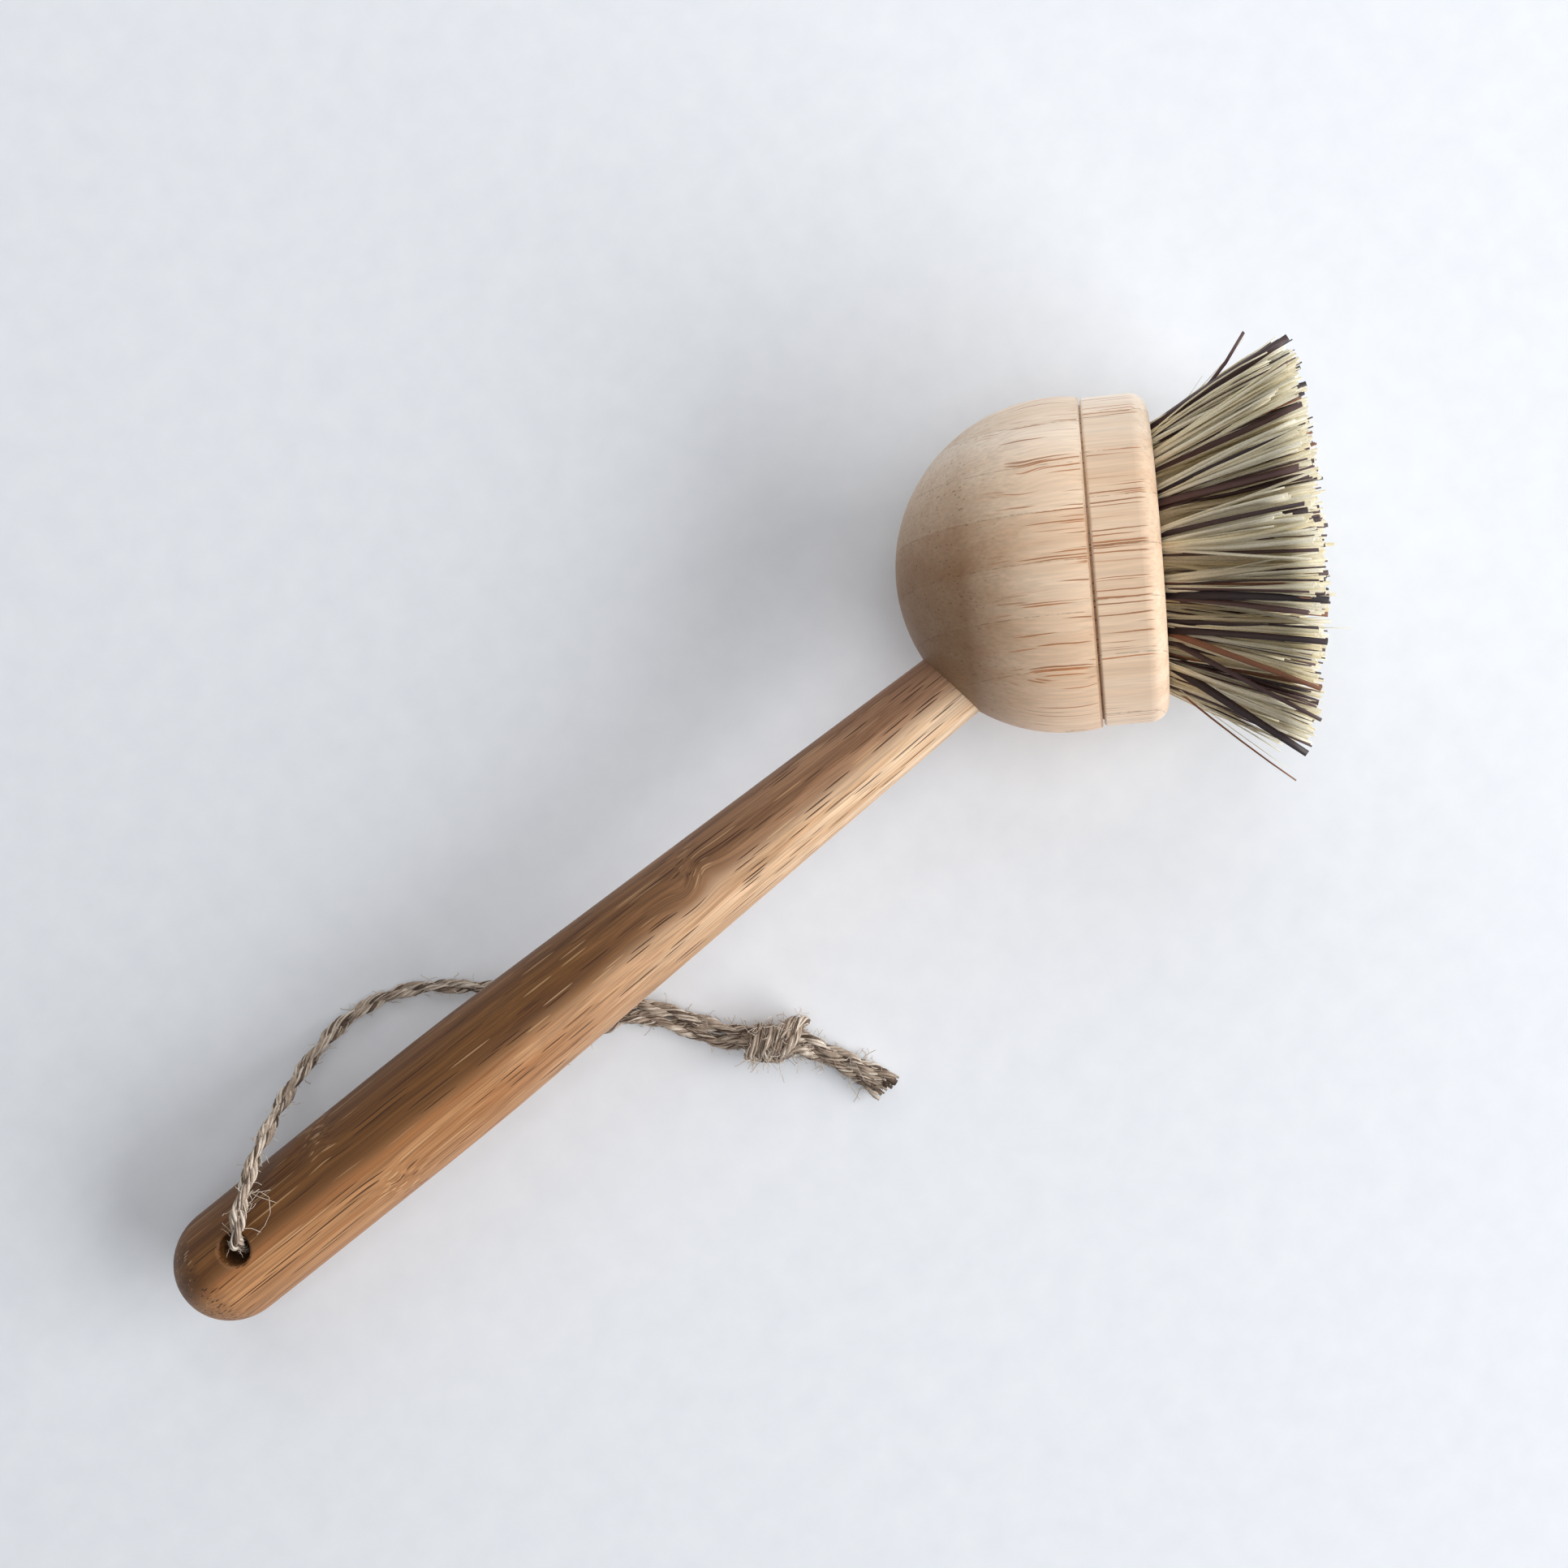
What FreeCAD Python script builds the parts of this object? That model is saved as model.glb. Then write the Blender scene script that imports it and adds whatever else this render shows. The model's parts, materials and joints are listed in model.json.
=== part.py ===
import FreeCAD, Part
import math
import os

from FreeCAD import Matrix, Placement, Rotation, Vector

# A dish brush that lies on a table: bent handle, ball-shaped dome and a brush head that screws off.
# Lengths are in millimetres and angles in degrees.

# Dome: a turned ball, cut flat in front.
dome_radius = 27.0
rim_offset = 4.6  # from the ball's centre forward to the flat rim
rim_round = 0.5

# Screw thread between the dome and the brush plate.
thread_radius = 12.0
thread_depth = 1.4
thread_pitch = 4.0
thread_base_width = 2.2
thread_top_width = 1.0
thread_play = 0.3
thread_run_in = 1.4  # plain stretch at each end of the spigot's thread
spigot_length = 9.5
bore_play = 0.6
seat_gap = 0.25

# Brush plate: a disc nearly as wide as the dome's rim.
plate_thickness = 10.4
plate_inset = 0.25  # the disc is this much smaller in radius than the rim
plate_front_round = 3.0
plate_back_round = 0.5

# Tufts: one in the middle and three rings round it, each held by a wire staple.
ring_counts = {"inner": 6, "middle": 12, "outer": 18}
ring_spacing = 6.45
tip_spacing = 9.7
tuft_length = 24.0
tuft_hole_radius = 2.3
tuft_hole_depth = 7.0
tuft_fit = 0.05
tuft_neck = 1.2  # straight stretch above the plate before the fibres spread
tuft_tip_gap = 0.3
staple_wire_radius = 0.4
staple_rise = 1.2  # the crown's height above the bottom of the hole
staple_bite = 2.5  # how far the legs go into the wood
staple_play = 0.03

# Handle: round butt, straight grip, straight taper to a tenon glued into the dome.
handle_angle = 34.3  # between the handle and the head's axis
handle_aim = 6.9  # where the two axes cross, in front of the ball's centre
handle_length = 165.0  # from the butt to the dome's surface
grip_radius = 9.9
grip_length = 62.0
grip_blend = 24.0
neck_radius = 6.15
neck_land = 0.6
tenon_length = 13.0
glue_gap = 0.1
cord_hole_radius = 2.75
cord_hole_from_butt = 15.6
cord_hole_break = 0.5

# Cord: one length of twine through the handle's hole, knotted into a loop, with two cut tails.
# The points lie in the part's own frame, +Z up from the table and +X towards the head.
cord_radius = 1.25
cord_lift = 1.5  # at rest the cord under the butt keeps the handle this far off the table
cord_hole_run = 5.2  # straight stretch each way from the middle of the hole
cord_arc_share = 0.45  # of the shorter run, from a corner to the start of its arc
cord_routes = {
    "cord_long_strand": [
        (-104.6, 8.4, 23.2), (-101.2, 12.0, 24.3), (-97.0, 15.6, 23.6), (-92.8, 18.8, 20.0),
        (-88.6, 21.4, 14.6), (-84.4, 23.6, 9.4), (-79.0, 25.6, 5.0), (-73.0, 26.8, 2.6),
        (-67.0, 26.6, 1.5), (-60.5, 24.7, 1.25), (-54.5, 20.8, 1.25), (-48.5, 15.4, 1.25),
        (-41.5, 8.2, 1.25), (-35.0, 2.2, 1.25), (-29.0, -4.4, 1.25), (-25.0, -10.4, 1.3),
        (-21.0, -15.6, 1.75), (-17.0, -19.0, 2.6),
    ],
    "cord_short_strand": [
        (-102.9, 3.9, 1.5), (-101.4, 0.0, 1.3), (-96.5, -1.8, 1.25), (-87.0, -2.2, 1.25),
        (-73.0, -1.7, 1.25), (-58.0, -1.9, 1.25), (-46.0, -1.6, 1.25), (-38.5, -2.2, 1.25),
        (-34.5, -3.6, 1.25), (-31.2, -6.4, 1.25), (-27.6, -11.5, 1.25), (-23.4, -17.2, 1.6),
        (-19.3, -21.2, 2.4),
    ],
    "cord_tail_upper": [
        (-12.2, -23.6, 2.6), (-10.4, -26.6, 2.2), (-8.0, -30.2, 1.7), (-6.2, -34.2, 1.3),
        (-4.2, -38.2, 1.25), (-3.0, -41.0, 1.25),
    ],
    "cord_tail_lower": [
        (-15.2, -25.2, 2.4), (-13.0, -27.6, 2.0), (-11.4, -30.6, 1.6), (-9.9, -34.3, 1.25),
        (-8.7, -38.0, 1.25), (-8.0, -40.9, 1.25),
    ],
}
knot_lobes = [(-16.5, -21.7, 2.9), (-14.0, -23.9, 2.9)]
knot_radius = 3.4

origin = Vector(0, 0, 0)
head_axis = Vector(0, 0, 1)
rim_radius = math.sqrt(dome_radius**2 - rim_offset**2)
plate_back = rim_offset + seat_gap
plate_front = plate_back + plate_thickness


def turned(edges):
    """A solid of revolution about Z from a closed outline in the XZ plane."""
    face = Part.Face(Part.Wire(Part.sortEdges(edges)[0]))
    return face.revolve(origin, head_axis, 360)


def lines(*points):
    """Straight edges through (radius, height) points."""
    corners = [Vector(r, 0, z) for r, z in points]
    return [Part.LineSegment(a, b).toShape() for a, b in zip(corners, corners[1:])]


def thread_ridge(root_radius, top_radius, base_width, top_width, low, high):
    """A right-handed ridge; its angle follows its height, so that both threads mesh."""
    sunk = 0.4 * thread_depth
    slope = (base_width - top_width) / (top_radius - root_radius)
    half_base = (base_width + slope * sunk) / 2
    half_top = top_width / 2
    inner = root_radius - sunk
    outline = lines(
        (inner, -half_base),
        (top_radius, -half_top),
        (top_radius, half_top),
        (inner, half_base),
        (inner, -half_base),
    )
    helix = Part.makeHelix(thread_pitch, high - low, root_radius)
    ridge = Part.Wire(helix.Edges).makePipeShell([Part.Wire(outline)], True, True)
    ridge.rotate(origin, head_axis, 360 * low / thread_pitch)
    ridge.translate(head_axis * low)
    return ridge


def make_handle():
    """Along +Z from the butt; the cord hole runs along Y."""
    taper = math.atan2(grip_radius - neck_radius, handle_length - neck_land - grip_length)
    half_blend = grip_blend / 2
    blend_end_r = grip_radius - half_blend * math.sin(taper)
    blend_end_z = grip_length + half_blend * math.cos(taper)
    blend_radius = half_blend / math.tan(taper / 2)
    blend_mid_r = grip_radius - blend_radius * (1 - math.cos(taper / 2))
    blend_mid_z = grip_length - half_blend + blend_radius * math.sin(taper / 2)
    slant = math.sqrt(0.5) * grip_radius
    butt = Part.Arc(
        origin, Vector(slant, 0, grip_radius - slant), Vector(grip_radius, 0, grip_radius)
    ).toShape()
    blend = Part.Arc(
        Vector(grip_radius, 0, grip_length - half_blend),
        Vector(blend_mid_r, 0, blend_mid_z),
        Vector(blend_end_r, 0, blend_end_z),
    ).toShape()
    end = handle_length + tenon_length
    outline = [butt]
    outline += lines((grip_radius, grip_radius), (grip_radius, grip_length - half_blend))
    outline += [blend]
    outline += lines(
        (blend_end_r, blend_end_z),
        (neck_radius, handle_length - neck_land),
        (neck_radius, end),
        (0, end),
        (0, 0),
    )
    handle = turned(outline)
    hole = Part.makeCylinder(
        cord_hole_radius, 4 * grip_radius, Vector(0, -2 * grip_radius, cord_hole_from_butt), Vector(0, 1, 0)
    )
    handle = handle.cut(hole)
    mouths = [
        edge
        for edge in handle.Edges
        if abs(edge.CenterOfMass.z - cord_hole_from_butt) < cord_hole_radius
        and abs(edge.CenterOfMass.y) > grip_radius / 2
        and edge.Length > math.pi * cord_hole_radius
    ]
    return handle.makeFillet(cord_hole_break, mouths)


def handle_place():
    """Puts the handle's own frame into the head's frame."""
    lean = math.radians(handle_angle)
    along = Vector(math.sin(lean), 0, math.cos(lean))
    miss = handle_aim * math.sin(lean)
    reach = handle_aim * math.cos(lean) + math.sqrt(dome_radius**2 - miss**2)
    butt = head_axis * handle_aim - along * (reach + handle_length)
    up = Vector(0, 1, 0)
    return Placement(butt, Rotation(up.cross(along), up, along, "ZYX"))


def make_dome(place):
    ball = Part.makeSphere(dome_radius)
    front = Part.makeCylinder(2 * dome_radius, 2 * dome_radius, head_axis * rim_offset)
    dome = ball.cut(front)
    rim = [edge for edge in dome.Edges if abs(edge.BoundBox.ZMin - rim_offset) < 0.01]
    dome = dome.makeFillet(rim_round, rim)
    root_radius = thread_radius - thread_depth
    bore_bottom = plate_back - spigot_length - bore_play
    bore = Part.makeCylinder(root_radius + thread_play, 2 * dome_radius, head_axis * bore_bottom)
    groove = thread_ridge(
        root_radius + thread_play,
        thread_radius + thread_play,
        thread_base_width + 2 * thread_play,
        thread_top_width + 2 * thread_play,
        plate_back - spigot_length + thread_run_in - thread_play,
        rim_offset + thread_pitch,
    )
    socket_radius = neck_radius + glue_gap
    socket_end = handle_length + tenon_length + glue_gap
    socket = Part.makeCylinder(socket_radius, 3 * tenon_length, head_axis * (socket_end - 3 * tenon_length))
    socket.Placement = place
    return dome.cut([bore, groove, socket])


def tuft_places():
    """Name and place of every tuft; the frame of a place has Z along the tuft and X round the ring."""
    places = [("tuft_centre", Placement(head_axis * plate_front, Rotation()))]
    for number, (ring, count) in enumerate(ring_counts.items(), 1):
        foot_radius = number * ring_spacing
        lean = math.asin(number * (tip_spacing - ring_spacing) / tuft_length)
        for index in range(count):
            turn = lowest_turn() + 2 * math.pi * index / count
            outward = Vector(math.cos(turn), math.sin(turn), 0)
            along = outward * math.sin(lean) + head_axis * math.cos(lean)
            foot = outward * foot_radius + head_axis * plate_front
            around = head_axis.cross(outward)
            place = Placement(foot, Rotation(around, along.cross(around), along, "ZXY"))
            places.append((f"tuft_{ring}_{index + 1:02d}", place))
    return places


def make_tuft(bottom):
    """A bunch of fibres: straight in its hole, then spreading to its cut end."""
    foot = tuft_hole_radius - tuft_fit
    tip = (tip_spacing - tuft_tip_gap) / 2
    return turned(
        lines(
            (0, bottom),
            (foot, bottom),
            (foot, tuft_neck),
            (tip, tuft_length),
            (0, tuft_length),
            (0, bottom),
        )
    )


def make_staple(wire_radius):
    """A bent wire: the crown lies across the hole and both legs go into the wood below it."""
    half = tuft_hole_radius - tuft_fit - staple_wire_radius
    crown_height = staple_rise - tuft_hole_depth
    leg_end = -tuft_hole_depth - staple_bite
    bend = 1.5 * staple_wire_radius
    slant = bend * (1 - math.sqrt(0.5))
    path = lines((-half, leg_end), (-half, crown_height - bend))
    path += lines((bend - half, crown_height), (half - bend, crown_height))
    path += lines((half, crown_height - bend), (half, leg_end))
    for side in (-1, 1):
        leg_top = Vector(side * half, 0, crown_height - bend)
        corner = Vector(side * (half - slant), 0, crown_height - slant)
        crown_end = Vector(side * (half - bend), 0, crown_height)
        path.append(Part.Arc(leg_top, corner, crown_end).toShape())
    section = Part.Wire(Part.makeCircle(wire_radius, Vector(-half, 0, leg_end), head_axis))
    return Part.Wire(Part.sortEdges(path)[0]).makePipeShell([section], True, False)


def make_spigot():
    """The threaded plug behind the plate, which screws into the dome."""
    root_radius = thread_radius - thread_depth
    spigot_end = plate_back - spigot_length
    core = Part.makeCylinder(root_radius, spigot_length, head_axis * spigot_end)
    ridge = thread_ridge(
        root_radius,
        thread_radius,
        thread_base_width,
        thread_top_width,
        spigot_end + thread_run_in,
        plate_back - thread_run_in,
    )
    return core.fuse(ridge).removeSplitter()


def make_plate(places):
    rim = rim_radius - plate_inset
    front_slant = plate_front_round * (1 - math.sqrt(0.5))
    back_slant = plate_back_round * (1 - math.sqrt(0.5))
    front_round = Part.Arc(
        Vector(rim, 0, plate_front - plate_front_round),
        Vector(rim - front_slant, 0, plate_front - front_slant),
        Vector(rim - plate_front_round, 0, plate_front),
    ).toShape()
    back_round = Part.Arc(
        Vector(rim - plate_back_round, 0, plate_back),
        Vector(rim - back_slant, 0, plate_back + back_slant),
        Vector(rim, 0, plate_back + plate_back_round),
    ).toShape()
    outline = lines((0, plate_back), (rim - plate_back_round, plate_back))
    outline += [back_round]
    outline += lines((rim, plate_back + plate_back_round), (rim, plate_front - plate_front_round))
    outline += [front_round]
    outline += lines((rim - plate_front_round, plate_front), (0, plate_front), (0, plate_back))
    plate = turned(outline)
    cuts = []
    for _, place in places:
        hole = Part.makeCylinder(tuft_hole_radius, 2 * tuft_hole_depth, head_axis * -tuft_hole_depth)
        legs = make_staple(staple_wire_radius + staple_play)
        for tool in (hole, legs):
            tool.Placement = place
            cuts.append(tool)
    return plate.cut(cuts)


def table_normal():
    """The table's upward normal in the head's frame: the dome, the fan's edge and the butt rest on it."""
    outer = len(ring_counts)
    lean = math.asin(outer * (tip_spacing - ring_spacing) / tuft_length)
    tip = (tip_spacing - tuft_tip_gap) / 2
    edge_radius = outer * tip_spacing + tip * math.cos(lean)
    edge_height = plate_front + tuft_length * math.cos(lean) - tip * math.sin(lean)
    edge_reach = math.hypot(edge_height, edge_radius)
    tilt = math.acos(dome_radius / edge_reach) - math.atan2(edge_height, edge_radius)
    ahead = math.sin(tilt)
    butt_ball = handle_place().multVec(head_axis * grip_radius)
    side = (cord_lift + grip_radius - dome_radius - butt_ball.z * ahead) / butt_ball.x
    return Vector(side, math.sqrt(1 - side**2 - ahead**2), ahead)


def lowest_turn():
    """The angle round the head's axis of the point nearest to the table."""
    normal = table_normal()
    return math.atan2(-normal.y, -normal.x)


def resting_frame():
    """Turns the head's frame so that +Z is up and +X runs along the handle towards the head."""
    up = table_normal()
    along = handle_place().Rotation.multVec(head_axis)
    level = (along - up * along.dot(up)).normalize()
    left = up.cross(level)
    turn = Matrix(level.x, level.y, level.z, 0, left.x, left.y, left.z, 0, up.x, up.y, up.z, 0, 0, 0, 0, 1)
    return Placement(turn)


def cord_path(points):
    """Straight runs joined by tangent arcs, each as large as its two runs allow; also gives the radii."""
    edges = []
    radii = []
    start = points[0]
    for before, corner, after in zip(points, points[1:], points[2:]):
        back = (before - corner).normalize()
        ahead = (after - corner).normalize()
        half_turn = (math.pi - back.getAngle(ahead)) / 2
        reach = cord_arc_share * min(before.distanceToPoint(corner), after.distanceToPoint(corner))
        radius = reach / math.tan(half_turn)
        inward = (back + ahead).normalize()
        middle = corner + inward * (radius / math.cos(half_turn) - radius)
        enter = corner + back * reach
        leave = corner + ahead * reach
        edges.append(Part.LineSegment(start, enter).toShape())
        edges.append(Part.Arc(enter, middle, leave).toShape())
        radii.append(radius)
        start = leave
    edges.append(Part.LineSegment(start, points[-1]).toShape())
    return Part.Wire(edges), radii


def make_cord(name, points):
    path, radii = cord_path(points)
    section = Part.Wire(Part.makeCircle(cord_radius, points[0], points[1] - points[0]))
    tube = path.makePipeShell([section], True, False)
    share = tube.Volume / (math.pi * cord_radius**2 * path.Length)
    print(name, "length", round(path.Length, 1), "volume over section times length", round(share, 4))
    print(name, "radii", [round(radius, 1) for radius in radii])
    return tube


def make_knot():
    """The overhand knot as two lobes, flat where it lies on the table."""
    first, second = [Part.makeSphere(knot_radius, Vector(*middle)) for middle in knot_lobes]
    side = 8 * knot_radius
    corner = Vector(knot_lobes[0][0] - side / 2, knot_lobes[0][1] - side / 2, -side)
    return first.fuse(second).cut(Part.makeBox(side, side, side, corner))


os.makedirs("parts", exist_ok=True)

place = handle_place()
places = tuft_places()
handle = make_handle()
handle.Placement = place
shapes = {
    "handle": handle,
    "dome": make_dome(place),
    "screw_spigot": make_spigot(),
    "brush_plate": make_plate(places),
}
staples = []
for name, tuft_place in places:
    staple = make_staple(staple_wire_radius)
    if name == "tuft_centre":
        tuft = make_tuft(staple_rise + staple_wire_radius + tuft_fit - tuft_hole_depth)
    else:
        tuft = make_tuft(tuft_fit - tuft_hole_depth).cut(make_staple(staple_wire_radius + staple_play))
    for piece in (tuft, staple):
        piece.Placement = tuft_place
    shapes[name] = tuft
    staples.append(staple)
shapes["tuft_staples"] = Part.makeCompound(staples)

rest = resting_frame()
for shape in shapes.values():
    shape.Placement = rest.multiply(shape.Placement)
box = Part.makeCompound(list(shapes.values())).optimalBoundingBox()
base = Vector((box.XMin + box.XMax) / 2, (box.YMin + box.YMax) / 2, box.ZMin)
rest = Placement(-base, Rotation()).multiply(rest)
for shape in shapes.values():
    shape.translate(-base)

hole_middle = rest.multVec(place.multVec(head_axis * cord_hole_from_butt))
hole_axis = rest.Rotation.multVec(Vector(0, 1, 0))
cord_starts = {
    "cord_long_strand": [hole_middle, hole_middle + hole_axis * cord_hole_run],
    "cord_short_strand": [hole_middle, hole_middle - hole_axis * cord_hole_run],
}
for name, route in cord_routes.items():
    points = cord_starts.get(name, []) + [Vector(*point) for point in route]
    shapes[name] = make_cord(name, points)
shapes["cord_knot"] = make_knot()

for name, shape in shapes.items():
    shape.exportStep(f"parts/{name}.step")
    print(name, len(shape.Solids), shape.isValid(), round(shape.Volume, 2))

print("size without cord", box.XLength, box.YLength, box.ZLength)
print("ball centre", rest.multVec(origin), "head axis", rest.Rotation.multVec(head_axis))
print("cord hole middle", hole_middle, "cord hole axis", hole_axis)
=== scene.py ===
import json
import math
import random

import bmesh
import bpy
from mathutils import Matrix, Vector


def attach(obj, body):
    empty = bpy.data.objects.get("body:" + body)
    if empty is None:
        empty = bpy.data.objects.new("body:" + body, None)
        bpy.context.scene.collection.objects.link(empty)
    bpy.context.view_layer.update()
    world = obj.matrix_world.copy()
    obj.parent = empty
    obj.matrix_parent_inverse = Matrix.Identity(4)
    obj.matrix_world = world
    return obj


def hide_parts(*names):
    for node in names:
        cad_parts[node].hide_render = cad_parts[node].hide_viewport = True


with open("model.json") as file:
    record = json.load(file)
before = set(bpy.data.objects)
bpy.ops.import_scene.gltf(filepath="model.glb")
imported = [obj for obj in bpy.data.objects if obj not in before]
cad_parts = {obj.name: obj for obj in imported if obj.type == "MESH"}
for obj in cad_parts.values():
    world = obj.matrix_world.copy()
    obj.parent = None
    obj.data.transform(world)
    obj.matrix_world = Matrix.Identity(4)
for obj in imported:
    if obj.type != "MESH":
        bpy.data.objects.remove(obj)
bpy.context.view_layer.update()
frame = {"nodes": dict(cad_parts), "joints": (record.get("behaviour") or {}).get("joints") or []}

scene = bpy.context.scene
scene.view_settings.view_transform = "Standard"

# The viewpoint: a hand-held camera straight above the table, 338 mm up, turned so that the
# handle runs from the lower left to the upper right of the square picture.
mm = 0.001
camera_place = Vector((14.2, 10.9, 338.0)) * mm
camera_turn = math.radians(-38.80)
camera_data = bpy.data.cameras.new("camera")
camera_data.sensor_width = 36.0
camera_data.lens = 44.01
camera_data.clip_start = 0.01
camera = bpy.data.objects.new("camera", camera_data)
camera.location = camera_place
camera.rotation_euler = (0.0, 0.0, camera_turn)
scene.collection.objects.link(camera)
scene.camera = camera
picture_right = Vector((math.cos(camera_turn), math.sin(camera_turn), 0.0))
picture_up = Vector((-math.sin(camera_turn), math.cos(camera_turn), 0.0))

# The light: a wide window low on the right of the picture, a dimmer one beyond its top, a pale
# ceiling, and a dim room round the rest. The room is seen pale where the table ends.
view_middle = Vector((camera_place.x, camera_place.y, 0.0))
# Each lamp: degrees round from the picture's right, degrees up, then distance, width and height
# in m, and watts.
lamps = (
    ("window", -10.0, 20.0, 1.3, 1.6, 1.4, 36.0),
    ("far_window", 90.0, 30.0, 0.9, 1.4, 1.0, 5.0),
    ("ceiling", 0.0, 90.0, 1.3, 0.8, 0.8, 4.3),
)
for name, side, rise, distance, width, height, watts in lamps:
    way = picture_right * math.cos(math.radians(side)) + picture_up * math.sin(math.radians(side))
    way = way * math.cos(math.radians(rise)) + Vector((0.0, 0.0, math.sin(math.radians(rise))))
    lamp_data = bpy.data.lights.new(name, "AREA")
    lamp_data.shape = "RECTANGLE"
    lamp_data.size = width
    lamp_data.size_y = height
    lamp_data.energy = watts
    lamp = bpy.data.objects.new(name, lamp_data)
    lamp.location = view_middle + way * distance
    lamp.rotation_euler = way.to_track_quat("Z", "Y").to_euler()
    lamp.visible_camera = False
    scene.collection.objects.link(lamp)


def linear(text):
    """An sRGB hex colour as the linear colour that a socket takes."""
    shares = [int(text[start:start + 2], 16) / 255 for start in (1, 3, 5)]
    return [s / 12.92 if s <= 0.04045 else ((s + 0.055) / 1.055) ** 2.4 for s in shares] + [1.0]


def add_node(tree, kind, inputs=None, **settings):
    """Adds a shader node, with its settings, and links or sets the inputs that are named or numbered.
    A node given as an input stands for its first output."""
    node = tree.nodes.new("ShaderNode" + kind)
    for name, value in settings.items():
        setattr(node, name, value)
    for key, value in (inputs or {}).items():
        if isinstance(value, bpy.types.Node):
            value = value.outputs[0]
        if isinstance(value, bpy.types.NodeSocket):
            tree.links.new(value, node.inputs[key])
        else:
            node.inputs[key].default_value = value
    return node


def seen_share(tree):
    """1 for what the camera sees, straight or in a shine, and 0 for the light that falls on things."""
    ray = add_node(tree, "LightPath")
    seen = add_node(tree, "Math", {0: ray.outputs["Is Camera Ray"], 1: ray.outputs["Is Transmission Ray"]},
                    operation="ADD")
    return add_node(tree, "Math", {0: seen, 1: ray.outputs["Is Glossy Ray"]}, operation="ADD",
                    use_clamp=True)


room = bpy.data.worlds.new("room")
room.use_nodes = True
scene.world = room
tree = room.node_tree
tree.nodes.clear()
pale_room = linear("#eef1f5")
fill = add_node(tree, "Background", {"Color": linear("#e6ebf5"), "Strength": 0.06})
pale = add_node(tree, "Background", {"Color": pale_room, "Strength": 1.0})
either = add_node(tree, "MixShader", {0: seen_share(tree), 1: fill, 2: pale})
add_node(tree, "OutputWorld", {"Surface": either})

# The table: a large sheet of matt white board. It is no part of the brush and only takes its
# shadow.
table_mesh = bpy.data.meshes.new("table")
table_form = bmesh.new()
bmesh.ops.create_grid(table_form, x_segments=1, y_segments=1, size=2.0)
bmesh.ops.translate(table_form, verts=table_form.verts, vec=(0.0, 0.0, -0.0001))
table_form.to_mesh(table_mesh)
table_form.free()
table = bpy.data.objects.new("table", table_mesh)
scene.collection.objects.link(table)
# Uncoated board: a cool white with a faint mottle of pulp, some 6 mm across, and no shine. From
# 0.3 to 0.9 m away it goes over into the pale of the room, for what sees it, not for the light.
board = bpy.data.materials.new("uncoated_board")
board.use_nodes = True
tree = board.node_tree
tree.nodes.clear()
place = add_node(tree, "TexCoord")
mottle = add_node(tree, "TexNoise", {"Vector": place.outputs["Object"], "Scale": 1 / 0.006, "Detail": 6.0})
shade = add_node(tree, "Mix", {0: mottle, 6: linear("#e3e7ed"), 7: linear("#eef1f6")}, data_type="RGBA")
matt = add_node(tree, "BsdfPrincipled", {"Base Color": shade.outputs[2], "Roughness": 0.9,
                                         "Specular IOR Level": 0.1})
away = add_node(tree, "VectorMath", {0: place.outputs["Object"], 1: view_middle}, operation="DISTANCE")
away = add_node(tree, "MapRange", {"Value": away.outputs["Value"], "From Min": 0.3, "From Max": 0.9},
                interpolation_type="SMOOTHSTEP")
away = add_node(tree, "Math", {0: away, 1: seen_share(tree)}, operation="MULTIPLY")
haze = add_node(tree, "Emission", {"Color": pale_room, "Strength": 1.0})
either = add_node(tree, "MixShader", {0: away, 1: matt, 2: haze})
add_node(tree, "OutputMaterial", {"Surface": either})
table_mesh.materials.append(board)

# The handle: two strips of carbonised bamboo glued edge to edge, turned and sanded to a round
# taper with a domed butt, and drilled near the butt for the twine.
handle = frame["nodes"]["handle"]
handle_axis = Vector((0.9960, 0.0, 0.0894)).normalized()
handle_up = Vector((0.0, 0.0, 1.0))
handle_up = (handle_up - handle_axis * handle_up.dot(handle_axis)).normalized()
handle_right = handle_up.cross(handle_axis)
handle_butt = Vector((-119.52, 6.33, 10.52)) * mm
handle_turn = Matrix((handle_right, handle_up, handle_axis)).transposed().to_euler()

# Carbonised bamboo, steamed brown and oiled: long fine vessels that show as dark scratches with
# a pale side, broad bands of tone along the grain, and a kink of the grain at each old node. It
# is browner at the butt and paler at the neck.
carbonised = bpy.data.materials.new("carbonised_bamboo_oiled")
carbonised.use_nodes = True
tree = carbonised.node_tree
tree.nodes.clear()
place = add_node(tree, "TexCoord")
local = add_node(tree, "Mapping", {"Vector": place.outputs["Object"], "Location": handle_butt,
                                   "Rotation": handle_turn, "Scale": (mm, mm, mm)}, vector_type="TEXTURE")
parts = add_node(tree, "SeparateXYZ", {0: local})
across = parts.outputs["X"]
along = parts.outputs["Z"]


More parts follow.
